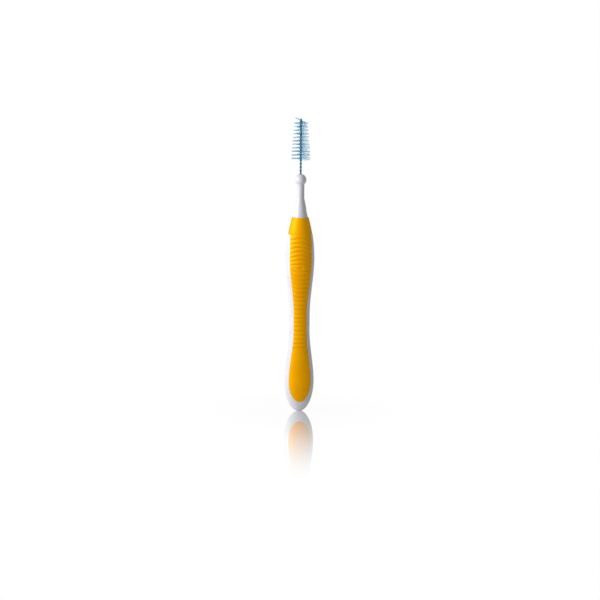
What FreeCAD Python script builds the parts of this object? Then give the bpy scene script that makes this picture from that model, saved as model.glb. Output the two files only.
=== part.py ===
import FreeCAD, Part
import math
import os

from FreeCAD import Vector

# An interdental brush standing on its foot: Z runs up the brush, the front faces -Y.
# All lengths are in millimetres.

# Handle outline from the foot up: widths across the front, depths from front to back
foot_flat_width = 1.4
foot_length = 9.6
bulb_width = 9.4
bulb_depth = 5.4
bulb_to_waist = 16.4
waist_length = 5.0
waist_width = 6.5
waist_depth = 4.7
waist_to_swell = 18.0
swell_width = 9.2
swell_depth = 7.0
swell_to_collar_top = 13.1
collar_top_width = 5.4
collar_top_depth = 5.2

# Neck above the handle, round, with a seat for a protective cap and a ball at its end
shoulder_radius = 2.4
shoulder_length = 2.1
cap_seat_radius = 1.9
cap_seat_length = 1.0
step_radius = 1.77
step_top_radius = 1.68
step_length = 0.9
flare_length = 1.8
neck_radius = 1.22
neck_length = 4.6
ball_radius = 1.86

# Soft grip moulded over the handle: a collar all round, and panels in front and behind that fill
# the pockets on both sides of the handle's flat web
web_thickness = 2.2
collar_thickness = 0.9
collar_height = 5.3
collar_corner_radius = 0.6
panel_margin = 1.12
panel_foot_gap = 3.1

# Grip ribs with narrow grooves between them, bowed round a raised oval under the thumb
rib_pitch = 1.385
rib_crest_width = 0.7
rib_height = 0.15
rib_end_height = 0.1
groove_depth = 0.13
smooth_panel_length = 16.0
rib_bow_height = 0.85
bow_reach = 3.0
thumb_below_swell = 2.7
thumb_oval_width = 2.8
thumb_oval_height = 1.3

# Twisted wire, folded double at the tip, its root held in the neck
strand_diameter = 0.26
twist_length = 2.22
root_depth = 5.0
root_clearance = 0.01
stem_length = 4.4
tip_straight = 0.2
sections_per_turn = 8
sections_over_tip = 6

# Filaments clamped between the two strands; each half turn of the twist makes one row
full_rows = 11
filaments_per_row = 12
tip_filaments = 4
filament_diameter = 0.08
clamp_clearance = 0.002
brush_base_diameter = 6.2
brush_tip_diameter = 4.3

# Heights that follow from the lengths above
bulb_z = foot_length
waist_low_z = bulb_z + bulb_to_waist
waist_high_z = waist_low_z + waist_length
swell_z = waist_high_z + waist_to_swell
collar_top_z = swell_z + swell_to_collar_top
collar_low_z = collar_top_z - collar_height
corner_z = collar_low_z - collar_corner_radius
cap_seat_z = collar_top_z + shoulder_length
step_z = cap_seat_z + cap_seat_length
flare_z = step_z + step_length
neck_z = flare_z + flare_length
ball_z = neck_z + neck_length + math.sqrt(ball_radius ** 2 - neck_radius ** 2)
ball_top_z = ball_z + ball_radius
thumb_z = swell_z - thumb_below_swell
smooth_top_z = panel_foot_gap + smooth_panel_length
ribs_above_thumb = math.floor((collar_low_z - thumb_z) / rib_pitch - 0.5)
ribs_below_thumb = math.floor((thumb_z - smooth_top_z) / rib_pitch - 0.5)
root_z = ball_top_z - root_depth
brush_z = ball_top_z + stem_length
filament_step = twist_length / 2 / filaments_per_row
filament_count = full_rows * filaments_per_row + tip_filaments
twist_top_z = brush_z + filament_count * filament_step
bend_z = twist_top_z + tip_straight

# The strands lie as far apart as the filaments between them need. A strand turns a little across
# a filament's thickness, and a chord of the winding comes nearer to the axis than its ends, so the
# winding is opened by that much.
strand_radius = strand_diameter / 2
filament_radius = filament_diameter / 2
turn_across_filament = 2 * math.pi / twist_length * filament_radius
clamp_half_gap = filament_radius + strand_radius * turn_across_filament + clamp_clearance
chord_rise = math.cos(math.pi / sections_per_turn)
winding_radius = (strand_radius + clamp_half_gap) / chord_rise
wire_radius = winding_radius + strand_radius / math.cos(math.pi / 6)

up = Vector(0, 0, 1)


def smooth_step(t):
    return t * t * (3 - 2 * t)


def between(low, high, t):
    return (low[0] + (high[0] - low[0]) * t, low[1] + (high[1] - low[1]) * t)


def handle_half_sizes(z):
    # Half width and half depth of the handle at a height.
    bulb = (bulb_width / 2, bulb_depth / 2)
    waist = (waist_width / 2, waist_depth / 2)
    swell = (swell_width / 2, swell_depth / 2)
    collar_top = (collar_top_width / 2, collar_top_depth / 2)
    if z < bulb_z:
        flat_cosine = math.sqrt(1 - (foot_flat_width / bulb_width) ** 2)
        share = math.sqrt(1 - (flat_cosine * (1 - z / foot_length)) ** 2)
        return (bulb[0] * share, bulb[1] * share)
    if z < waist_low_z:
        return between(bulb, waist, smooth_step((z - bulb_z) / bulb_to_waist))
    if z < waist_high_z:
        return waist
    if z < swell_z:
        return between(waist, swell, smooth_step((z - waist_high_z) / waist_to_swell))
    return between(swell, collar_top, ((z - swell_z) / swell_to_collar_top) ** 2)


def panel_edge(z):
    # Half width of the grip panel: round at the foot, flared into the collar at the top.
    if z < bulb_z:
        drop = (bulb_z - z) / (bulb_z - panel_foot_gap)
        return (bulb_width / 2 - panel_margin) * math.sqrt(1 - drop * drop)
    flare = 0
    if z > corner_z:
        climb = min(1, (z - corner_z) / collar_corner_radius)
        flare = collar_corner_radius * (1 - math.sqrt(1 - climb * climb))
    return handle_half_sizes(z)[0] - panel_margin + flare


def steps(low, high, count):
    # Evenly spaced heights above the low one, up to the high one.
    return [low + (high - low) * step / count for step in range(1, count + 1)]


def panel_heights():
    # Heights of the sections through the part of the handle that carries the panels.
    rise = bulb_z - panel_foot_gap
    heights = [bulb_z - rise * math.cos(math.radians(angle)) for angle in (15, 25, 35, 45, 55, 65, 75, 90)]
    heights += steps(bulb_z, waist_low_z, 5)
    heights += [waist_high_z]
    heights += steps(waist_high_z, swell_z, 5)
    heights += steps(swell_z, corner_z, 3)
    heights += [corner_z + collar_corner_radius * 0.7, collar_low_z]
    return heights


panel_stations = [(z, panel_edge(z)) for z in panel_heights()]


def wall_x(z):
    # The panel's side wall runs straight from one section of the handle to the next.
    for (low_z, low_x), (high_z, high_x) in zip(panel_stations, panel_stations[1:]):
        if z <= high_z:
            return low_x + (high_x - low_x) * (z - low_z) / (high_z - low_z)


def rim_y(x, z):
    half_width, half_depth = handle_half_sizes(z)
    return half_depth * math.sqrt(1 - (x / half_width) ** 2)


def arc_edge(start, middle, end):
    return Part.Arc(start, middle, end).toShape()


def line_edge(start, end):
    return Part.LineSegment(start, end).toShape()


def ruled_solid(wires):
    return Part.makeLoft(wires, True, True)


def oval_section(half_width, half_depth, split_x, z):
    # An oval of four arcs that meet where the panel's side walls come out.
    split_y = half_depth * math.sqrt(1 - (split_x / half_width) ** 2)
    corners = [
        Vector(-split_x, -split_y, z),
        Vector(split_x, -split_y, z),
        Vector(split_x, split_y, z),
        Vector(-split_x, split_y, z),
    ]
    middles = [
        Vector(0, -half_depth, z),
        Vector(half_width, 0, z),
        Vector(0, half_depth, z),
        Vector(-half_width, 0, z),
    ]
    ends = corners[1:] + corners[:1]
    return Part.Wire([arc_edge(*points) for points in zip(corners, middles, ends)])


def web_section(z):
    # The handle between the pockets: a flat web with a rounded rim down each side.
    half_width = handle_half_sizes(z)[0]
    x = wall_x(z)
    y = rim_y(x, z)
    web = web_thickness / 2
    edges = []
    for side in (1, -1):
        low = Vector(side * x, -side * y, z)
        high = Vector(side * x, side * y, z)
        edges.append(arc_edge(low, Vector(side * half_width, 0, z), high))
        edges.append(line_edge(high, Vector(side * x, side * web, z)))
        edges.append(line_edge(Vector(side * x, side * web, z), Vector(-side * x, side * web, z)))
        edges.append(line_edge(Vector(-side * x, side * web, z), Vector(-side * x, side * y, z)))
    return Part.Wire(edges)


def foot_solid():
    # The rounded foot below the panels, down to the small flat at its end.
    low_z, low_x = panel_stations[0]
    heights = [low_z * share ** 2 for share in (0, 0.2, 0.4, 0.6, 0.8, 1)]
    sections = []
    for z in heights:
        half_width, half_depth = handle_half_sizes(z)
        split_share = low_x / handle_half_sizes(low_z)[0]
        sections.append(oval_section(half_width, half_depth, half_width * split_share, z))
    return ruled_solid(sections)


def collar_loft(inset):
    # The handle's top inside the collar's heights, drawn in by the inset all round.
    low_width = handle_half_sizes(collar_low_z)[0]
    split_share = wall_x(collar_low_z) / low_width
    sections = []
    for z in [collar_low_z] + steps(collar_low_z, collar_top_z, 6):
        half_width, half_depth = handle_half_sizes(z)
        half_width -= inset
        half_depth -= inset
        sections.append(oval_section(half_width, half_depth, half_width * split_share, z))
    return ruled_solid(sections)


def neck_solid():
    # Shoulder, cap seat, step, flare, neck and ball, turned about the brush axis.
    ball_foot = Vector(neck_radius, 0, neck_z + neck_length)
    tip = Vector(0, 0, ball_top_z)
    points = [
        Vector(0, 0, collar_top_z),
        Vector(shoulder_radius, 0, collar_top_z),
        Vector(cap_seat_radius, 0, cap_seat_z),
        Vector(cap_seat_radius, 0, step_z),
        Vector(step_radius, 0, step_z),
        Vector(step_top_radius, 0, flare_z),
        Vector(neck_radius, 0, neck_z),
        ball_foot,
    ]
    edges = [line_edge(start, end) for start, end in zip(points, points[1:])]
    edges.append(arc_edge(ball_foot, Vector(ball_radius, 0, ball_z), tip))
    edges.append(line_edge(tip, points[0]))
    return Part.Face(Part.Wire(edges)).revolve(Vector(0, 0, 0), up, 360)


def make_handle_core():
    web = ruled_solid([web_section(z) for z, x in panel_stations])
    bore = Part.makeCylinder(wire_radius + root_clearance, root_depth + ball_radius, Vector(0, 0, root_z))
    core = foot_solid().fuse([web, collar_loft(collar_thickness), neck_solid()])
    return core.cut(bore).removeSplitter()


def panel_section(middle_z, end_z, middle_height, end_height):
    # Across a panel: its face bows from the side walls out to the middle, over the flat web.
    x = wall_x(end_z)
    y = rim_y(x, end_z) + end_height
    half_depth = handle_half_sizes(middle_z)[1] + middle_height
    web = web_thickness / 2
    left = Vector(-x, -y, end_z)
    right = Vector(x, -y, end_z)
    left_root = Vector(-x, -web, end_z)
    right_root = Vector(x, -web, end_z)
    edges = [arc_edge(left, Vector(0, -half_depth, middle_z), right)]
    edges.append(line_edge(right, right_root))
    edges.append(line_edge(right_root, left_root))
    edges.append(line_edge(left_root, left))
    return Part.Wire(edges)


def rib_bow(rise):
    # How far a rib's ends lie nearer to the thumb oval's height than its middle does.
    reach = abs(rise) / bow_reach
    return math.copysign(rib_bow_height * reach * math.exp(1 - reach), rise)


def rib_sections(place):
    # One rib, counted up from the thumb oval; its ends bow towards the oval.
    rise = place * rib_pitch
    half_crest = rib_crest_width / 2
    sections = []
    for offset in (-half_crest, half_crest):
        z = thumb_z + rise + offset
        sections.append(panel_section(z, z - rib_bow(rise), rib_height, rib_end_height))
    return sections


def groove_section(place):
    # The bottom of the groove between a rib and the next one up.
    rise = (place + 0.5) * rib_pitch
    z = thumb_z + rise
    return panel_section(z, z - rib_bow(rise), -groove_depth, -groove_depth)


def front_panel():
    # The smooth lower panel, then grooves and ribs in turn, up to the collar.
    first_groove_z = thumb_z - (ribs_below_thumb + 0.5) * rib_pitch
    sections = [panel_section(z, z, 0, 0) for z, x in panel_stations if z < first_groove_z - rib_pitch / 2]
    sections.append(panel_section(first_groove_z - rib_pitch / 2, first_groove_z - rib_pitch / 2, 0, 0))
    sections.append(groove_section(-ribs_below_thumb - 1))
    for place in range(-ribs_below_thumb, ribs_above_thumb + 1):
        if place != 0:
            sections += rib_sections(place)
        sections.append(groove_section(place))
    sections.append(panel_section(collar_low_z, collar_low_z, 0, 0))
    return ruled_solid(sections)


def thumb_oval():
    # The raised oval that the ribs bow round.
    crest_y = -handle_half_sizes(thumb_z)[1] - rib_height
    centre = Vector(0, crest_y, thumb_z)
    wide = centre + Vector(thumb_oval_width / 2, 0, 0)
    tall = centre + Vector(0, 0, thumb_oval_height / 2)
    outline = Part.Wire(Part.Ellipse(wide, tall, centre).toShape())
    depth = -crest_y - web_thickness / 2
    return Part.Face(outline).extrude(Vector(0, depth, 0))


def make_soft_grip():
    front = front_panel().fuse(thumb_oval())
    back = front.copy()
    back.rotate(Vector(0, 0, 0), up, 180)
    collar = collar_loft(0).cut(collar_loft(collar_thickness))
    return collar.fuse([front, back]).removeSplitter()


def strand_section(centre, outward, tangent):
    # A hexagon square to the strand, with a flat towards the filaments.
    sideways = tangent.cross(outward).normalize()
    corner = strand_radius / math.cos(math.pi / 6)
    points = []
    for count in range(6):
        angle = math.pi / 6 + count * math.pi / 3
        points.append(centre + (outward * math.cos(angle) + sideways * math.sin(angle)) * corner)
    return Part.makePolygon(points + points[:1])


def twist_angle(z):
    # The strands stand square to the filament that they clamp; a row's middle filament lies along X.
    row_middle = brush_z + twist_length / 4
    return math.pi / 2 + 2 * math.pi * (min(z, twist_top_z) - row_middle) / twist_length


def leg_section(z, side):
    # One leg of the wire at a height: side 1 goes up to the tip, side -1 comes down from it.
    angle = twist_angle(z)
    outward = Vector(math.cos(angle), math.sin(angle), 0) * side
    rate = 2 * math.pi / twist_length * winding_radius if z < twist_top_z else 0
    tangent = (up + up.cross(outward) * rate).normalize() * side
    return strand_section(outward * winding_radius + up * z, outward, tangent)


def make_twisted_wire():
    turns = (twist_top_z - root_z) / twist_length
    count = math.ceil(turns * sections_per_turn)
    heights = [root_z] + steps(root_z, twist_top_z, count)
    top = Vector(math.cos(twist_angle(bend_z)), math.sin(twist_angle(bend_z)), 0)
    sections = [leg_section(z, 1) for z in heights]
    for step in range(sections_over_tip + 1):
        angle = math.pi * step / sections_over_tip
        outward = top * math.cos(angle) + up * math.sin(angle)
        tangent = up * math.cos(angle) - top * math.sin(angle)
        sections.append(strand_section(outward * winding_radius + up * bend_z, outward, tangent))
    sections += [leg_section(z, -1) for z in reversed(heights)]
    return ruled_solid(sections)


def filament(number):
    # One straight three-sided filament through the brush axis, square to the strands at its height.
    z = brush_z + (number + 0.5) * filament_step
    angle = twist_angle(z) - math.pi / 2
    share = number / (filament_count - 1)
    length = brush_base_diameter + (brush_tip_diameter - brush_base_diameter) * share
    along = Vector(math.cos(angle), math.sin(angle), 0)
    sideways = up.cross(along)
    start = up * z - along * (length / 2)
    points = []
    for turn in (math.pi / 2, math.pi * 7 / 6, math.pi * 11 / 6):
        reach = sideways * math.cos(turn) + up * math.sin(turn)
        points.append(start + reach * filament_radius)
    return Part.Face(Part.makePolygon(points + points[:1])).extrude(along * length)


def make_bristle_rows():
    rows = {}
    for number in range(filament_count):
        name = "bristle_row_%02d" % (number // filaments_per_row + 1)
        rows.setdefault(name, []).append(filament(number))
    return {name: Part.makeCompound(pieces) for name, pieces in rows.items()}


nodes = {
    "handle_core": make_handle_core(),
    "soft_grip": make_soft_grip(),
    "twisted_wire": make_twisted_wire(),
}
nodes.update(make_bristle_rows())

os.makedirs("parts", exist_ok=True)
for name, shape in nodes.items():
    shape.exportStep("parts/" + name + ".step")
    print(name, "solids", len(shape.Solids), "valid", shape.isValid(), "volume", round(shape.Volume, 3))

box = Part.makeCompound(list(nodes.values())).BoundBox
print("height", round(box.ZLength, 2), "width", round(box.XLength, 2), "depth", round(box.YLength, 2))
print("ball top", round(ball_top_z, 3), "brush from", round(brush_z, 3), "tip", round(box.ZMax, 3))
gap = nodes["twisted_wire"].distToShape(nodes["bristle_row_06"])[0]
print("least gap between strand and filament", round(gap, 4))
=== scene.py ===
import math
import random

import bpy
from mathutils import Matrix, Vector


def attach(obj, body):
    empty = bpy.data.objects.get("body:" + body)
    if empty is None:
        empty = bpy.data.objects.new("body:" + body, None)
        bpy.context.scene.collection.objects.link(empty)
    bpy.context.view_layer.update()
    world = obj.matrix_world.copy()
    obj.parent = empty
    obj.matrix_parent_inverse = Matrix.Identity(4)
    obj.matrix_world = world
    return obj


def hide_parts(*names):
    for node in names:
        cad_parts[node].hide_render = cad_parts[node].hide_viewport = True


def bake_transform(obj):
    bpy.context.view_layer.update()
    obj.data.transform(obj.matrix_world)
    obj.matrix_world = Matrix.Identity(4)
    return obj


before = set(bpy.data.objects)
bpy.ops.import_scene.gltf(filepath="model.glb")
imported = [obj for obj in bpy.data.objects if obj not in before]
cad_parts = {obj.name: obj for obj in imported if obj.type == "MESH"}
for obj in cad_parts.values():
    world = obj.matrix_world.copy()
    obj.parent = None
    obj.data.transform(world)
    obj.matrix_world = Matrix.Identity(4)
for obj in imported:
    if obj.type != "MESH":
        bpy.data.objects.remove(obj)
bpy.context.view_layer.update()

mm = 0.001  # the pieces' sizes are in millimetres, Blender works in metres
slack = 0.001  # play when corners are picked by their height
mergeGap = 0.0005  # corners nearer than this become one

# Outline shared by the white core and the yellow grip, foot first
outline = {
    "footFlatWidth": 1.4,
    "footLength": 9.6,
    "bulbHalf": (4.7, 2.7),      # half width, half depth
    "waistLow": 26.0,
    "waistHigh": 31.0,
    "waistHalf": (3.25, 2.35),
    "swellHeight": 49.0,
    "swellHalf": (4.6, 3.5),
    "collarLow": 56.7,
    "collarTop": 62.1,
    "collarTopHalf": (2.7, 2.6),
    "rim": 1.2,                  # white rim beside the grip panel
    "rimAtSwell": 1.1,
    "rimAtCollar": 0.65,
    "rimTurn": 52.0,             # above this height the rim narrows fast
    "panelFoot": 3.1,
    "webHalf": 1.1,              # half thickness of the core between its two pockets
}


def shareOf(z, low, high):
    # how far a height is on its way from low to high, held between 0 and 1
    return min(1, max(0, (z - low) / (high - low)))


def easeShare(t):
    return t * t * (3 - 2 * t)


def mixPair(low, high, share):
    return (low[0] + (high[0] - low[0]) * share, low[1] + (high[1] - low[1]) * share)


def halfSizes(z):
    # half width and half depth of the oval handle
    o = outline
    if z < o["footLength"]:
        flatCosine = math.sqrt(1 - (o["footFlatWidth"] / (2 * o["bulbHalf"][0])) ** 2)
        share = math.sqrt(1 - (flatCosine * (1 - z / o["footLength"])) ** 2)
        return (o["bulbHalf"][0] * share, o["bulbHalf"][1] * share)
    if z < o["waistLow"]:
        share = easeShare(shareOf(z, o["footLength"], o["waistLow"]))
        return mixPair(o["bulbHalf"], o["waistHalf"], share)
    if z < o["swellHeight"]:
        share = easeShare(shareOf(z, o["waistHigh"], o["swellHeight"]))
        return mixPair(o["waistHalf"], o["swellHalf"], share)
    share = shareOf(z, o["swellHeight"], o["collarTop"]) ** 2
    return mixPair(o["swellHalf"], o["collarTopHalf"], share)


def panelEdge(z):
    # half width of the grip panel: round at the foot, its white rim narrowing towards the collar
    o = outline
    if z < o["footLength"]:
        drop = min(1, (o["footLength"] - z) / (o["footLength"] - o["panelFoot"]))
        return (o["bulbHalf"][0] - o["rim"]) * math.sqrt(1 - drop * drop)
    rim = o["rim"] + (o["rimAtSwell"] - o["rim"]) * shareOf(z, o["waistHigh"], o["swellHeight"])
    rim += (o["rimAtCollar"] - o["rimAtSwell"]) * shareOf(z, o["rimTurn"], o["collarLow"])
    return halfSizes(z)[0] - rim


def faceDepth(x, z):
    # how far the oval handle reaches forward at a place on its face
    width, depth = halfSizes(z)
    return depth * math.sqrt(max(0, 1 - (x / width) ** 2))


def deselectAll():
    if bpy.context.mode != "OBJECT":
        bpy.ops.object.mode_set(mode="OBJECT")
    bpy.ops.object.select_all(action="DESELECT")


def selectOnly(*pieces):
    deselectAll()
    for piece in pieces:
        piece.select_set(True)
    bpy.context.view_layer.objects.active = pieces[0]


def selectWhere(piece, keep):
    # stays in edit mode, with only the corners that pass the test selected
    bpy.ops.mesh.select_mode(type="VERT")
    bpy.ops.mesh.select_all(action="DESELECT")
    bpy.ops.object.mode_set(mode="OBJECT")
    for corner in piece.data.vertices:
        corner.select = keep(corner.co)
    bpy.ops.object.mode_set(mode="EDIT")


def finishMesh(smoothAngle):
    # from edit mode: merge, turn the faces outwards, and leave the piece shaded at the origin
    bpy.ops.mesh.select_all(action="SELECT")
    bpy.ops.mesh.remove_doubles(threshold=mergeGap * mm)
    bpy.ops.mesh.normals_make_consistent(inside=False)
    bpy.ops.object.mode_set(mode="OBJECT")
    bpy.ops.object.transform_apply(location=True, rotation=True, scale=True)
    bpy.ops.object.shade_smooth_by_angle(angle=math.radians(smoothAngle))


def extrudeRings(name, rings, sides):
    # an oval ring drawn up through the listed heights; rings hold height, half width, half depth
    deselectAll()
    height, width, depth = rings[0]
    bpy.ops.mesh.primitive_circle_add(vertices=sides, radius=mm, location=(0, 0, 0))
    piece = bpy.context.object
    piece.name = name
    bpy.ops.object.mode_set(mode="EDIT")
    bpy.ops.mesh.select_all(action="SELECT")
    bpy.ops.transform.resize(value=(width, depth, 1), center_override=(0, 0, 0))
    bpy.ops.transform.translate(value=(0, 0, height * mm))
    for nextHeight, nextWidth, nextDepth in rings[1:]:
        rise = (nextHeight - height) * mm
        bpy.ops.mesh.extrude_region_move(TRANSFORM_OT_translate={"value": (0, 0, rise)})
        grow = (nextWidth / width, nextDepth / depth, 1)
        bpy.ops.transform.resize(value=grow, center_override=(0, 0, nextHeight * mm))
        height, width, depth = nextHeight, nextWidth, nextDepth
    return piece


# Materials

def hexColour(code):
    # sRGB hex to the linear colour that Blender works in
    channels = [int(code[i:i + 2], 16) / 255 for i in (1, 3, 5)]
    linear = [c / 12.92 if c <= 0.04045 else ((c + 0.055) / 1.055) ** 2.4 for c in channels]
    return (*linear, 1)


def addNode(tree, kind, settings=None, values=None, links=None):
    # one node with its settings, its socket values and what feeds it
    node = tree.nodes.new(kind)
    for key, value in (settings or {}).items():
        setattr(node, key, value)
    for key, value in (values or {}).items():
        node.inputs[key].default_value = value
    for key, source in (links or {}).items():
        tree.links.new(source, node.inputs[key])
    return node


def newMaterial(name, constants):
    material = bpy.data.materials.new(name)
    material.use_nodes = True
    tree = material.node_tree
    tree.nodes.clear()
    shader = addNode(tree, "ShaderNodeBsdfPrincipled", values=constants)
    addNode(tree, "ShaderNodeOutputMaterial", links={"Surface": shader.outputs[0]})
    place = addNode(tree, "ShaderNodeTexCoord").outputs["Object"]
    return material, tree, shader, place


def perMetre(sizeMm):
    # noise scale that gives features of about this size
    return 1 / (sizeMm * mm)


def colourInClouds(tree, shader, place, finish):
    # soft clouds between the finish's two tones
    cloud = addNode(tree, "ShaderNodeTexNoise", links={"Vector": place},
                    values={"Scale": perMetre(finish["cloudMm"]), "Detail": finish["cloudDetail"]})
    tone = addNode(tree, "ShaderNodeValToRGB", links={"Fac": cloud.outputs["Fac"]})
    for stop, edge, code in zip(tone.color_ramp.elements, finish["cloudEdges"], finish["tones"]):
        stop.position = edge
        stop.color = hexColour(code)
    tree.links.new(tone.outputs["Color"], shader.inputs["Base Color"])


def grainSurface(tree, shader, place, finish):
    # fine grain that varies the shine and lifts the surface a little
    grain = addNode(tree, "ShaderNodeTexNoise", links={"Vector": place},
                    values={"Scale": perMetre(finish["grainMm"]), "Detail": finish["grainDetail"]})
    smooth, rough = finish["roughness"]
    shine = addNode(tree, "ShaderNodeMapRange", values={"To Min": smooth, "To Max": rough},
                    links={"Value": grain.outputs["Fac"]})
    tree.links.new(shine.outputs["Result"], shader.inputs["Roughness"])
    bump = addNode(tree, "ShaderNodeBump", links={"Height": grain.outputs["Fac"]},
                   values={"Strength": finish["grainStrength"], "Distance": finish["grainDepth"] * mm})
    tree.links.new(bump.outputs["Normal"], shader.inputs["Normal"])


# Moulded white polypropylene: dense, a little waxy, smooth with a soft broad shine
corePlastic = {
    "tones": ("#d5d6dd", "#dcdce2"),
    "cloudMm": 6.0,
    "cloudDetail": 2,
    "cloudEdges": (0.35, 0.65),
    "grainMm": 0.5,
    "grainDetail": 3,
    "grainDepth": 0.004,
    "grainStrength": 0.35,
    "roughness": (0.3, 0.4),
    "ior": 1.49,
    "waxWeight": 0.06,           # share of the light that wanders inside before it comes out
    "waxDepth": 0.6,
    "waxSpread": (1.0, 0.9, 0.8),
}


def makeCorePlastic():
    p = corePlastic
    constants = {"IOR": p["ior"], "Subsurface Weight": p["waxWeight"],
                 "Subsurface Radius": p["waxSpread"], "Subsurface Scale": p["waxDepth"] * mm}
    material, tree, shader, place = newMaterial("polypropylene, moulded white", constants)
    colourInClouds(tree, shader, place, p)
    grainSurface(tree, shader, place, p)
    return material


# Overmoulded yellow elastomer: matt and slightly grainy; its shine and sheen are tinted lemon, a painted
# highlight where the lamp lights it
gripRubber = {
    "tones": ("#f29500", "#f99e00"),
    "cloudMm": 5.0,
    "cloudDetail": 3,
    "cloudEdges": (0.35, 0.65),
    "grainMm": 0.16,             # coarser than a real mould's grain, so that it shows in a close view
    "grainDetail": 4,
    "grainDepth": 0.006,
    "grainStrength": 0.5,
    "roughness": (0.5, 0.62),
    "ior": 1.72,
    "shineLevel": 1.0,
    # lemon tint of the painted highlight, standing in for the strongly lit side of the yellow
    "paintedLemonTint": "#e2ff08",
    "paintedSheenWeight": 0.5,
    "paintedSheenRoughness": 0.4,
}


def makeGripRubber():
    p = gripRubber
    # the shine and the sheen take the lemon tint: a painted highlight, not a colour of the elastomer
    paintedLemon = hexColour(p["paintedLemonTint"])
    constants = {"IOR": p["ior"], "Specular IOR Level": p["shineLevel"], "Specular Tint": paintedLemon,
                 "Sheen Weight": p["paintedSheenWeight"], "Sheen Roughness": p["paintedSheenRoughness"],
                 "Sheen Tint": paintedLemon}
    material, tree, shader, place = newMaterial("thermoplastic elastomer, yellow", constants)
    colourInClouds(tree, shader, place, p)
    grainSurface(tree, shader, place, p)
    return material


# Steel wire in a thin blue plastic coat: teal, a little uneven, with a dull broad shine
coatedWire = {
    "tones": ("#067392", "#0484a6"),
    "cloudMm": 0.7,
    "cloudDetail": 3,
    "cloudEdges": (0.4, 0.6),
    "roughness": 0.5,
    "shineLevel": 0.25,
}


def makeCoatedWire():
    p = coatedWire
    constants = {"Roughness": p["roughness"], "Specular IOR Level": p["shineLevel"]}
    material, tree, shader, place = newMaterial("steel wire, blue polymer coat", constants)
    colourInClouds(tree, shader, place, p)
    return material


# Extruded nylon filament: clear pale blue, with painted shade that greys the outer ends
nylon = {
    "body": "#c5e9fb",
    "tip": "#9fbbc9",
    "tipFrom": 2.1,              # distance from the wire's middle at which the painted grey shade begins
    "tipTo": 3.1,
    "roughness": 0.3,
    "ior": 1.3,
    "clearness": 0.7,
}


def makeNylon():
    p = nylon
    constants = {"Roughness": p["roughness"], "IOR": p["ior"], "Transmission Weight": p["clearness"]}
    material, tree, shader, place = newMaterial("nylon filament, pale blue", constants)
    parts = addNode(tree, "ShaderNodeSeparateXYZ", links={"Vector": place})
    flat = addNode(tree, "ShaderNodeCombineXYZ",
                   links={"X": parts.outputs["X"], "Y": parts.outputs["Y"]})
    reach = addNode(tree, "ShaderNodeVectorMath", {"operation": "LENGTH"}, links={0: flat.outputs[0]})
    share = addNode(tree, "ShaderNodeMapRange",
                    values={"From Min": p["tipFrom"] * mm, "From Max": p["tipTo"] * mm},
                    links={"Value": reach.outputs["Value"]})
    # the outer ends are painted greyer: painted shade for where the filaments overlap and shade each other
    tone = addNode(tree, "ShaderNodeValToRGB", links={"Fac": share.outputs["Result"]})
    tone.color_ramp.elements[0].color = hexColour(p["body"])
    tone.color_ramp.elements[1].color = hexColour(p["tip"])
    tree.links.new(tone.outputs["Color"], shader.inputs["Base Color"])
    return material


whitePlastic = makeCorePlastic()
yellowRubber = makeGripRubber()
blueWire = makeCoatedWire()
paleNylon = makeNylon()
print("materials made")


# White core: one moulding from the foot to the ball that the wire comes out of
core = {
    "sides": 96,
    "footRings": 16,
    "handleRings": 60,
    "underCollar": 0.3,          # under the collar the core lies this far inside the handle's outline
    "ledge": 0.05,               # height of the ledge that the collar stands on
    "underCollarHeights": (57.6, 58.2, 59.0, 60.0, 61.0, 61.8),
    # height and radius
    "shoulder": ((62.0, 2.43), (62.2, 2.39), (63.9, 1.99), (64.1, 1.94)),
    "step": ((65.21, 1.79), (65.28, 1.765), (65.9, 1.70), (66.05, 1.665)),
    "flare": ((66.25, 1.61), (67.65, 1.29), (67.85, 1.25)),
    "seatRadius": 1.9,
    "seatHeights": (64.25, 65.05),
    "seatEdge": ((65.14, 0.02), (65.19, 0.06)),  # height and inset
    "neckRadius": 1.22,
    "neckHeights": (68.1, 70.2, 72.3),
    "filletHeight": 72.45,
    "filletAtNeck": 0.03,        # how far the fillet widens the neck, here and at the ball
    "filletAtBall": 0.08,
    "ballHeight": 73.904,
    "ballRadius": 1.86,
    "ballRings": 14,
    "boreRadius": 0.37,
    "boreFloor": 74.6,
    "mouthAtBall": 0.06,         # how far the bore's mouth is widened where it meets the ball
    "mouthEdge": ((0.005, 0.02), (-0.05, 0.0)),  # rise from there, and widening
    "pocketRows": 220,
    "pocketCrowding": 1.5,       # the pocket's rim has more points at its round foot
    "pocketTop": 57.3,
    "pocketReach": 5.0,          # the cut runs this far out from the web
    "smoothAngle": 38,
}


def handleRings():
    c, o = core, outline
    rings = []
    for step in range(c["footRings"]):
        z = o["footLength"] * (step / c["footRings"]) ** 2
        rings.append((z, *halfSizes(z)))
    for step in range(c["handleRings"] + 1):
        z = o["footLength"] + (o["collarLow"] - o["footLength"]) * step / c["handleRings"]
        rings.append((z, *halfSizes(z)))
    for z in (o["collarLow"] + c["ledge"], *c["underCollarHeights"]):
        width, depth = halfSizes(z)
        rings.append((z, width - c["underCollar"], depth - c["underCollar"]))
    return rings


def neckRings():
    # shoulder cone, cap seat with a rolled edge, step, flare and slim neck
    c = core
    profile = list(c["shoulder"])
    profile += [(z, c["seatRadius"]) for z in c["seatHeights"]]
    profile += [(z, c["seatRadius"] - inset) for z, inset in c["seatEdge"]]
    profile += c["step"] + c["flare"]
    profile += [(z, c["neckRadius"]) for z in c["neckHeights"]]
    profile.append((c["filletHeight"], c["neckRadius"] + c["filletAtNeck"]))
    return [(z, radius, radius) for z, radius in profile]


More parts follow.
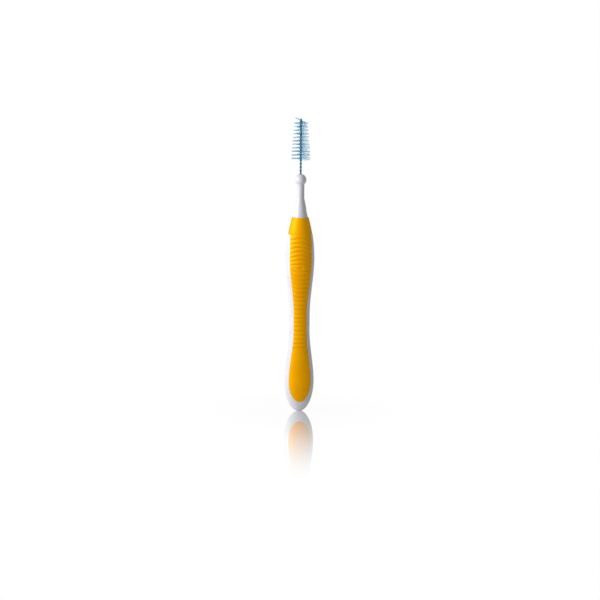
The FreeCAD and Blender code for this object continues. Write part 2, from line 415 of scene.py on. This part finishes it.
def ballRings():
    # the ball, the rounded mouth of the wire's bore, and the bore down to its floor
    c = core
    bore = c["boreRadius"]
    low = math.asin((c["neckRadius"] + c["filletAtBall"]) / c["ballRadius"])
    high = math.asin((bore + c["mouthAtBall"]) / c["ballRadius"])
    rings = []
    for step in range(c["ballRings"] + 1):
        angle = math.pi - low + (high - math.pi + low) * step / c["ballRings"]
        radius = c["ballRadius"] * math.sin(angle)
        rings.append((c["ballHeight"] + c["ballRadius"] * math.cos(angle), radius, radius))
    top = rings[-1][0]
    rings += [(top + rise, bore + wider, bore + wider) for rise, wider in c["mouthEdge"]]
    rings.append((c["boreFloor"], bore, bore))
    return rings


def cutPocket(piece, side):
    # the pocket that a grip panel lies in, cut down to the flat web
    c, o = core, outline
    length = c["pocketTop"] - o["panelFoot"]
    shares = [(step / c["pocketRows"]) ** c["pocketCrowding"] for step in range(c["pocketRows"] + 1)]
    heights = [o["panelFoot"] + length * share for share in shares]
    rim = [(panelEdge(z), z) for z in heights] + [(-panelEdge(z), z) for z in reversed(heights[1:])]
    corners = [(x * mm, side * o["webHalf"] * mm, z * mm) for x, z in rim]
    cutMesh = bpy.data.meshes.new("pocketCut")
    cutMesh.from_pydata(corners, [], [range(len(corners))])
    cut = bpy.data.objects.new("pocketCut", cutMesh)
    bpy.context.scene.collection.objects.link(cut)
    selectOnly(cut)
    bpy.ops.object.mode_set(mode="EDIT")
    bpy.ops.mesh.select_all(action="SELECT")
    reach = (0, side * c["pocketReach"] * mm, 0)
    bpy.ops.mesh.extrude_region_move(TRANSFORM_OT_translate={"value": reach})
    finishMesh(c["smoothAngle"])
    selectOnly(piece)
    boolean = piece.modifiers.new("pocket", "BOOLEAN")
    boolean.operation = "DIFFERENCE"
    boolean.solver = "EXACT"
    boolean.object = cut
    bpy.ops.object.modifier_apply(modifier=boolean.name)
    bpy.data.objects.remove(cut)


def makeHandleCore():
    c = core
    piece = extrudeRings("handleCore", handleRings() + neckRings() + ballRings(), c["sides"])
    bpy.ops.mesh.edge_face_add()  # floor of the wire's bore
    selectWhere(piece, lambda co: co.z < slack * mm)
    bpy.ops.mesh.edge_face_add()  # flat under the foot
    finishMesh(c["smoothAngle"])
    for side in (-1, 1):
        cutPocket(piece, side)
    bpy.ops.object.mode_set(mode="EDIT")
    finishMesh(c["smoothAngle"])
    piece.data.materials.append(whitePlastic)
    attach(piece, "handle")
    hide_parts("handle_core")


makeHandleCore()
print("white core made")


# Yellow grip: a collar all round, and a ribbed panel in front and behind, moulded as one piece
grip = {
    "thumbHeight": 46.11,
    "padHalfHeight": 1.25,       # the pad under the thumb, between the first two grooves
    "padSharpening": 2.2,        # the pad's edges are this much sharper than those of the ribs
    "dimpleHalf": (0.75, 0.36),
    "dimpleDepth": 0.17,
    "dimpleFall": 0.9,           # how fast the dimple fades out
    "ribsAbove": 7,
    "ribsBelow": 18,
    "ribPitch": 1.355,
    "crest": 0.12,
    "crestAtEnds": 0.1,
    "groove": -0.11,
    "grooveRunOut": 7,           # how sharply a groove runs out at the panel's border
    "ribSharpness": 2.8,
    "bowHeight": 0.85,
    "bowReachUp": 4.2,
    "bowReachDown": 3.0,
    "edgeRadius": 0.08,
    "edgeBite": 0.015,           # the panel's border runs this far into the white rim, so no gap shows
    "slopeStep": 0.02,           # rise over which the slope of the border is taken
    # rows and columns of the panel's mesh, closer where the surface turns
    "footAngles": (0, 4, 8, 12, 17, 22, 28, 34, 40, 46, 53, 60, 67, 74, 82),
    "smoothRows": 16,
    "leadShares": (0, 0.3, 0.55, 0.72, 0.84, 0.93),
    "ribShares": (0.0, 0.035, 0.08, 0.14, 0.23, 0.36, 0.5, 0.64, 0.77, 0.86, 0.92, 0.965),
    "padRows": 24,
    "tuckRises": (0.15, 0.45),   # the last rows lie under the collar
    "borderColumns": (-1, -0.985, -0.965, -0.94, -0.905, -0.86),
    "middleReach": 0.8,
    "middleColumns": 40,
    # the collar: inset and rise of its lower edge, inset and drop of its upper one
    "collarFoot": ((0.7, 0.02), (0.3, 0.0), (0.18, 0.025), (0.08, 0.09), (0.02, 0.18), (0.0, 0.28)),
    "collarHead": ((0.03, 0.14), (0.08, 0.06), (0.15, 0.015), (0.23, 0.0), (0.5, 0.0)),
    "collarHeadDrop": 0.27,      # the upper edge starts to turn in this far below the top
    "collarProud": -0.08,        # the collar lies this far below the white rim
    "collarRows": 12,
    "collarSides": 96,
    "smoothAngle": 50,
}


def grooveHeights():
    g = grip
    firstUp = g["thumbHeight"] + g["padHalfHeight"]
    firstDown = g["thumbHeight"] - g["padHalfHeight"]
    down = [firstDown - g["ribPitch"] * step for step in range(g["ribsBelow"], -1, -1)]
    return down + [firstUp + g["ribPitch"] * step for step in range(g["ribsAbove"] + 1)]


grooves = grooveHeights()


def panelRows():
    # heights along the middle of the panel, each with how far it is through its rib, or None
    g, o = grip, outline
    foot = o["footLength"]
    rows = [(foot - (foot - o["panelFoot"]) * math.cos(math.radians(angle)), None)
            for angle in g["footAngles"]]
    lead = grooves[0] - 0.5 * g["ribPitch"]  # from here the smooth panel runs down into the first groove
    rows += [(foot + (lead - foot) * step / g["smoothRows"], None) for step in range(g["smoothRows"])]
    rows += [(lead + (grooves[0] - lead) * share, 0.5 + 0.5 * share) for share in g["leadShares"]]
    padShares = [step / g["padRows"] for step in range(g["padRows"])]
    for low, high in zip(grooves, grooves[1:]):
        shares = padShares if low < g["thumbHeight"] < high else g["ribShares"]
        rows += [(low + (high - low) * share, share) for share in shares]
    rows.append((grooves[-1], 0.0))
    rows += [(o["collarLow"] + rise, 0.0) for rise in g["tuckRises"]]
    return rows


def panelColumns():
    # places across the panel, from -1 to 1
    g = grip
    reach, count = g["middleReach"], g["middleColumns"]
    columns = list(g["borderColumns"])
    columns += [-reach + 2 * reach * step / count for step in range(count + 1)]
    columns += [-place for place in reversed(g["borderColumns"])]
    return columns


def ribBow(rise):
    # how far a rib's ends lie nearer to the thumb's height than its middle does
    reach = rise / grip["bowReachUp"] if rise > 0 else -rise / grip["bowReachDown"]
    return math.copysign(grip["bowHeight"] * reach * math.exp(1 - reach), rise)


def relief(share, across, x, z, middle):
    # how far the panel stands above the plain oval, or lies below it
    g = grip
    if share is None:
        return 0.0
    swing = abs(2 * share - 1)  # 0 on a crest, 1 in a groove
    if middle < grooves[0]:
        return g["groove"] * (swing ** g["ribSharpness"])
    isPad = abs(middle - g["thumbHeight"]) < g["padHalfHeight"]
    sharpness = g["padSharpening"] * g["ribSharpness"] if isPad else g["ribSharpness"]
    crest = g["crest"] + (g["crestAtEnds"] - g["crest"]) * across * across
    floor = g["groove"] * (1 - abs(across) ** g["grooveRunOut"])
    height = crest + (floor - crest) * swing ** sharpness
    if isPad:
        halfWidth, halfHeight = g["dimpleHalf"]
        away = math.hypot(x / halfWidth, (z - g["thumbHeight"]) / halfHeight)
        height -= g["dimpleDepth"] * math.exp(-away * away * g["dimpleFall"])
    return height


def panelPoint(across, middle, share):
    # a corner of the panel's face; across runs from -1 to 1, middle is the height of its row
    g = grip
    z = middle - ribBow(middle - g["thumbHeight"]) * across * across
    border = panelEdge(z)
    edge = border + g["edgeBite"]
    x = across * edge
    # the face rolls down beside its border
    slope = (panelEdge(z + g["slopeStep"]) - border) / g["slopeStep"]
    gap = min(g["edgeRadius"], (edge - abs(x)) / math.sqrt(1 + slope * slope))
    roll = g["edgeRadius"] - math.sqrt(g["edgeRadius"] ** 2 - (g["edgeRadius"] - gap) ** 2)
    depth = faceDepth(x, z) + relief(share, across, x, z, middle) - roll
    return (x * mm, -depth * mm, z * mm)


def makePanel(name):
    rows = panelRows()
    columns = panelColumns()
    lastRow = len(rows) - 1
    lastColumn = len(columns) - 1
    deselectAll()
    bpy.ops.mesh.primitive_grid_add(x_subdivisions=lastColumn, y_subdivisions=lastRow, size=2)
    piece = bpy.context.object
    piece.name = name
    for corner in piece.data.vertices:
        across = columns[round((corner.co.x + 1) / 2 * lastColumn)]
        middle, share = rows[round((corner.co.y + 1) / 2 * lastRow)]
        corner.co = panelPoint(across, middle, share)
    bpy.ops.object.mode_set(mode="EDIT")
    bpy.ops.mesh.select_all(action="SELECT")
    bpy.ops.mesh.region_to_loop()
    # side walls down to the floor of the pocket, and the flat that lies on it
    bpy.ops.mesh.extrude_region_move(TRANSFORM_OT_translate={"value": (0, 0, 0)})
    bpy.ops.transform.resize(value=(1, 0, 1), center_override=(0, -outline["webHalf"] * mm, 0))
    bpy.ops.mesh.edge_face_add()
    finishMesh(grip["smoothAngle"])
    return piece


def makeCollar():
    g, o = grip, outline
    low = o["collarLow"] + g["collarFoot"][-1][1]
    high = o["collarTop"] - g["collarHeadDrop"]
    # height, inset, and half width and half depth of the outline there
    profile = [(o["collarLow"] + rise, inset, halfSizes(o["collarLow"] + rise))
               for inset, rise in g["collarFoot"]]
    for step in range(1, g["collarRows"] + 1):
        z = low + (high - low) * step / g["collarRows"]
        profile.append((z, 0.0, halfSizes(z)))
    profile += [(o["collarTop"] - drop, inset, o["collarTopHalf"]) for inset, drop in g["collarHead"]]
    rings = [(z, width + g["collarProud"] - inset, depth + g["collarProud"] - inset)
             for z, inset, (width, depth) in profile]
    rings.append(rings[0])  # back down inside, so the collar is a closed band
    piece = extrudeRings("gripCollar", rings, g["collarSides"])
    finishMesh(g["smoothAngle"])
    return piece


def makeSoftGrip():
    front = makePanel("softGrip")
    selectOnly(front)
    bpy.ops.object.duplicate()
    back = bpy.context.object
    back.rotation_euler = (0, 0, math.pi)
    bpy.ops.object.transform_apply(location=True, rotation=True, scale=True)
    collar = makeCollar()
    selectOnly(front, back, collar)
    bpy.ops.object.join()
    front.data.materials.append(yellowRubber)
    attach(front, "handle")
    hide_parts("soft_grip")


makeSoftGrip()
print("soft grip made")


# Twisted wire: two strands wound round each other, folded over at the tip
wire = {
    "strandRadius": 0.172,
    "windingRadius": 0.191,      # from the middle of the wire to the middle of a strand
    "twistLength": 2.22,         # rise of one full turn
    "rootDepth": 5.0,            # below the top of the ball
    "freeStem": 4.4,             # from the top of the ball to the first row of filaments
    "brushLength": 12.58,
    "foldRise": 0.2,             # the strands run straight from the last turn up to the fold
    "foldSteps": 12,
    "joinGap": 0.002,            # corners nearer than this are joined where the fold meets a strand
    "stepsPerTurn": 28,
    "sectionSides": 12,
    "stemTop": 79.9,             # the wire bends between these two heights
    "ballTop": 75.8,
    "smoothAngle": 60,
}
wireMouth = core["ballHeight"] + core["ballRadius"]
rootHeight = wireMouth - wire["rootDepth"]
brushHeight = wireMouth + wire["freeStem"]
twistTop = brushHeight + wire["brushLength"]
bendHeight = twistTop + wire["foldRise"]


def twistAngle(z):
    # in the middle of a row the strands stand front and back, so that its filaments lie left and right
    rowMiddle = brushHeight + wire["twistLength"] / 4
    return math.pi / 2 + 2 * math.pi * (z - rowMiddle) / wire["twistLength"]


def makeStrand(name, turn):
    w = wire
    rise = twistTop - rootHeight
    turns = rise / w["twistLength"]
    lean = 2 * math.pi * w["windingRadius"] / w["twistLength"]
    deselectAll()
    bpy.ops.mesh.primitive_circle_add(vertices=w["sectionSides"], radius=w["strandRadius"] * mm,
                                      location=(0, 0, 0))
    piece = bpy.context.object
    piece.name = name
    # a level cut through a leaning strand is longer along its way round
    piece.scale = (1, math.sqrt(1 + lean * lean), 1)
    piece.location = (w["windingRadius"] * mm, 0, 0)
    bpy.ops.object.transform_apply(location=True, rotation=True, scale=True)
    screw = piece.modifiers.new("twist", "SCREW")
    screw.angle = 2 * math.pi * turns
    screw.screw_offset = rise * mm
    screw.steps = round(turns * w["stepsPerTurn"])
    screw.render_steps = screw.steps
    screw.iterations = 1
    screw.use_smooth_shade = True
    bpy.ops.object.modifier_apply(modifier=screw.name)
    piece.location = (0, 0, rootHeight * mm)
    piece.rotation_euler = (0, 0, twistAngle(rootHeight) + turn)
    bpy.ops.object.transform_apply(location=True, rotation=True, scale=True)
    # straight on up to the fold; stays in edit mode with the upper rim selected
    bpy.ops.object.mode_set(mode="EDIT")
    selectWhere(piece, lambda co: co.z > (twistTop - slack) * mm)
    lift = (bendHeight - twistTop) * mm
    bpy.ops.mesh.extrude_region_move(TRANSFORM_OT_translate={"value": (0, 0, lift)})
    return piece


def makeTwistedWire():
    w = wire
    first = makeStrand("twistedWire", 0)
    topAngle = twistAngle(twistTop)
    bpy.ops.mesh.spin(steps=w["foldSteps"], angle=math.pi, center=(0, 0, bendHeight * mm),
                      axis=(-math.sin(topAngle), math.cos(topAngle), 0))
    second = makeStrand("secondStrand", math.pi)
    selectOnly(first, second)
    bpy.ops.object.join()
    bpy.ops.object.mode_set(mode="EDIT")
    bpy.ops.mesh.select_all(action="SELECT")
    bpy.ops.mesh.remove_doubles(threshold=w["joinGap"] * mm)
    bpy.ops.mesh.fill_holes(sides=w["sectionSides"])  # the two cut ends in the bore
    finishMesh(w["smoothAngle"])
    first.data.materials.append(blueWire)
    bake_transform(first)
    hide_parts("twisted_wire")


makeTwistedWire()
print("twisted wire made")


# Filaments clamped across the wire; each half turn of the twist makes one row
bristles = {
    "rows": 12,
    "perRow": 34,
    "inLastRow": 12,
    "radius": 0.03,
    "sides": 6,
    "knots": (-0.5, -0.25, 0.0, 0.25, 0.5),  # rings along a filament of length one
    "bow": 0.05,                 # a filament's ends bend this far to one side
    "baseDiameter": 6.2,
    "tipDiameter": 4.3,
    "lengthSpread": 0.035,
    "fanDeg": 5.0,
    "tiltDeg": 4.0,
    "lastFanDeg": 40.0,
    "lastTiltDeg": 26.0,
    "seed": 11,
    "smoothAngle": 65,
}


def makeFilament():
    # one filament one unit long, drawn along X through the origin with a slight bow
    b = bristles
    start = (b["knots"][0], 0, b["bow"] * mm)
    deselectAll()
    bpy.ops.mesh.primitive_circle_add(vertices=b["sides"], radius=b["radius"] * mm, fill_type="NGON",
                                      rotation=(0, math.pi / 2, 0), location=start)
    piece = bpy.context.object
    bpy.ops.object.transform_apply(location=True, rotation=True, scale=True)
    bpy.ops.object.mode_set(mode="EDIT")
    bpy.ops.mesh.select_all(action="SELECT")
    for low, high in zip(b["knots"], b["knots"][1:]):
        rise = b["bow"] * 4 * (high * high - low * low)  # along a parabola
        move = (high - low, 0, rise * mm)
        bpy.ops.mesh.extrude_region_move(TRANSFORM_OT_translate={"value": move})
    bpy.ops.mesh.select_all(action="DESELECT")
    bpy.ops.mesh.select_non_manifold()
    bpy.ops.mesh.edge_face_add()
    bpy.ops.mesh.select_all(action="SELECT")
    bpy.ops.mesh.normals_make_consistent(inside=False)
    bpy.ops.object.mode_set(mode="OBJECT")
    bpy.ops.object.shade_smooth_by_angle(angle=math.radians(b["smoothAngle"]))
    return piece


def filamentPlace(dice, row, number, count):
    # stretches the filament to its length, turns it and lifts it to its height
    b = bristles
    halfTurn = wire["twistLength"] / 2
    z = brushHeight + (row + (number + 0.5) / b["perRow"]) * halfTurn
    along = (z - brushHeight) / (twistTop - brushHeight)
    length = b["baseDiameter"] + (b["tipDiameter"] - b["baseDiameter"]) * min(1, along)
    length *= 1 + dice.uniform(-1, 1) * b["lengthSpread"]
    turn = twistAngle(z) - math.pi / 2 + math.radians(dice.uniform(-1, 1) * b["fanDeg"])
    tilt = math.radians(dice.uniform(-1, 1) * b["tiltDeg"])
    if row == b["rows"] - 1:
        # the end filaments splay and lean over where the wire stops holding them
        turn = math.radians(b["lastFanDeg"]) * (2 * (number + 0.5) / count - 1)
        tilt += math.radians(b["lastTiltDeg"])
    roll = dice.uniform(0, 2 * math.pi)
    place = Matrix.Translation((0, 0, z * mm)) @ Matrix.Rotation(turn, 4, "Z")
    place = place @ Matrix.Rotation(tilt, 4, "Y") @ Matrix.Rotation(roll, 4, "X")
    return place @ Matrix.Diagonal((length * mm, 1, 1, 1))


def makeBristleRow(master, dice, row):
    b = bristles
    count = b["inLastRow"] if row == b["rows"] - 1 else b["perRow"]
    copies = []
    for number in range(count):
        copy = bpy.data.objects.new("filament", master.data.copy())
        bpy.context.scene.collection.objects.link(copy)
        copy.data.transform(filamentPlace(dice, row, number, count))
        copies.append(copy)
    selectOnly(*copies)
    bpy.ops.object.join()
    piece = copies[0]
    piece.name = "bristleRow%02d" % (row + 1)
    piece.data.materials.append(paleNylon)
    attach(piece, "brush_head")
    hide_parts("bristle_row_%02d" % (row + 1))


def makeBristleRows():
    dice = random.Random(bristles["seed"])
    master = makeFilament()
    for row in range(bristles["rows"]):
        makeBristleRow(master, dice, row)
    bpy.data.objects.remove(master)


makeBristleRows()
print("bristle rows made")


# Studio, its lengths in metres: pale glossy floor, white surround, soft key from the left
studio = {
    "floorSize": 6.0,
    "floorPaint": "#f4f4f4",
    "floorRoughness": 0.02,
    "reflectNear": 0.8,          # strength of the reflection at the foot
    "reflectReach": 0.115,       # it has faded out at this distance
    "shadowVeil": 0.75,          # share of plain white over the shadow at the foot
    "shadowReach": 0.035,
    "worldFill": 0.23,
    "keyPlace": (-0.67, -0.23, 0.3),
    "keySize": (0.4, 0.5),
    "keyPower": 6.0,
    "aim": (0, 0, 0.045),
}
white = (1, 1, 1, 1)


def seenRays(tree, path):
    # 1 for a ray that shows a surface, also by gloss or through a clear piece, and 0 for one that lights it
    seen = addNode(tree, "ShaderNodeMath", {"operation": "MAXIMUM"},
                   links={0: path.outputs["Is Camera Ray"], 1: path.outputs["Is Glossy Ray"]})
    seen = addNode(tree, "ShaderNodeMath", {"operation": "MAXIMUM"},
                   links={0: seen.outputs[0], 1: path.outputs["Is Transmission Ray"]})
    return seen.outputs[0]


def makeFloor():
    s = studio
    deselectAll()
    bpy.ops.mesh.primitive_plane_add(size=s["floorSize"], location=(0, 0, 0))
    floor = bpy.context.object
    floor.name = "floor"
    material = bpy.data.materials.new("white gloss laminate")
    material.use_nodes = True
    tree = material.node_tree
    tree.nodes.clear()
    place = addNode(tree, "ShaderNodeTexCoord").outputs["Object"]
    reach = addNode(tree, "ShaderNodeVectorMath", {"operation": "LENGTH"}, links={0: place})
    path = addNode(tree, "ShaderNodeLightPath")
    # shadow shows near the foot and fades out to plain white
    away = addNode(tree, "ShaderNodeMapRange", links={"Value": reach.outputs["Value"]},
                   values={"From Max": s["shadowReach"], "To Min": s["shadowVeil"], "To Max": 1})
    share = addNode(tree, "ShaderNodeMath", {"operation": "MULTIPLY"},
                    links={0: away.outputs["Result"], 1: seenRays(tree, path)})
    paint = addNode(tree, "ShaderNodeBsdfDiffuse", values={"Color": hexColour(s["floorPaint"])})
    plain = addNode(tree, "ShaderNodeEmission", values={"Color": white, "Strength": 1})
    ground = addNode(tree, "ShaderNodeMixShader",
                     links={0: share.outputs[0], 1: paint.outputs[0], 2: plain.outputs[0]})
    # the reflection fades with distance from the foot
    fade = addNode(tree, "ShaderNodeMapRange", {"interpolation_type": "SMOOTHSTEP"},
                   values={"From Max": s["reflectReach"], "To Min": s["reflectNear"], "To Max": 0},
                   links={"Value": reach.outputs["Value"]})
    mirror = addNode(tree, "ShaderNodeMath", {"operation": "MULTIPLY"},
                     links={0: fade.outputs["Result"], 1: path.outputs["Is Camera Ray"]})
    gloss = addNode(tree, "ShaderNodeBsdfGlossy",
                    values={"Color": white, "Roughness": s["floorRoughness"]})
    surface = addNode(tree, "ShaderNodeMixShader",
                      links={0: mirror.outputs[0], 1: ground.outputs[0], 2: gloss.outputs[0]})
    addNode(tree, "ShaderNodeOutputMaterial", links={"Surface": surface.outputs[0]})
    floor.data.materials.append(material)


def makeWorld():
    world = bpy.data.worlds.new("studio surround")
    bpy.context.scene.world = world
    world.use_nodes = True
    tree = world.node_tree
    tree.nodes.clear()
    path = addNode(tree, "ShaderNodeLightPath")
    level = addNode(tree, "ShaderNodeMapRange", values={"To Min": studio["worldFill"], "To Max": 1},
                    links={"Value": seenRays(tree, path)})
    light = addNode(tree, "ShaderNodeBackground", values={"Color": white},
                    links={"Strength": level.outputs["Result"]})
    addNode(tree, "ShaderNodeOutputWorld", links={"Surface": light.outputs[0]})


def makeKeyLight():
    s = studio
    lamp = bpy.data.lights.new("key", "AREA")
    lamp.shape = "RECTANGLE"
    lamp.size, lamp.size_y = s["keySize"]
    lamp.energy = s["keyPower"]
    key = bpy.data.objects.new("key", lamp)
    bpy.context.scene.collection.objects.link(key)
    key.location = s["keyPlace"]
    key.rotation_euler = (Vector(s["aim"]) - key.location).to_track_quat("-Z", "Y").to_euler()


makeFloor()
makeWorld()
makeKeyLight()
print("studio made")


# Camera, its lengths in metres: a long lens, a little above and to the left, rolled so that the brush leans
view = {
    "distance": 1.0,
    "azimuthDeg": -7.0,
    "elevationDeg": 8.0,
    "rollDeg": 0.47,
    "aim": (0.00012, 0, 0.0356),
    "frameWidth": 0.1903,
    "sensorMm": 36,
    "clipStart": 0.01,
}


def makeCamera():
    v = view
    data = bpy.data.cameras.new("camera")
    data.sensor_width = v["sensorMm"]
    data.sensor_fit = "HORIZONTAL"
    data.lens = v["sensorMm"] * v["distance"] / v["frameWidth"]
    data.clip_start = v["clipStart"]
    camera = bpy.data.objects.new("camera", data)
    bpy.context.scene.collection.objects.link(camera)
    turn = math.radians(v["azimuthDeg"])
    tilt = math.radians(v["elevationDeg"])
    aim = Vector(v["aim"])
    level = Vector((math.sin(turn), -math.cos(turn), 0)) * math.cos(tilt)
    camera.location = aim + (level + Vector((0, 0, math.sin(tilt)))) * v["distance"]
    look = (aim - camera.location).to_track_quat("-Z", "Y").to_matrix()
    camera.rotation_euler = (look @ Matrix.Rotation(math.radians(v["rollDeg"]), 3, "Z")).to_euler()
    bpy.context.scene.camera = camera


makeCamera()
bpy.context.scene.view_settings.view_transform = "Standard"
print("camera placed")
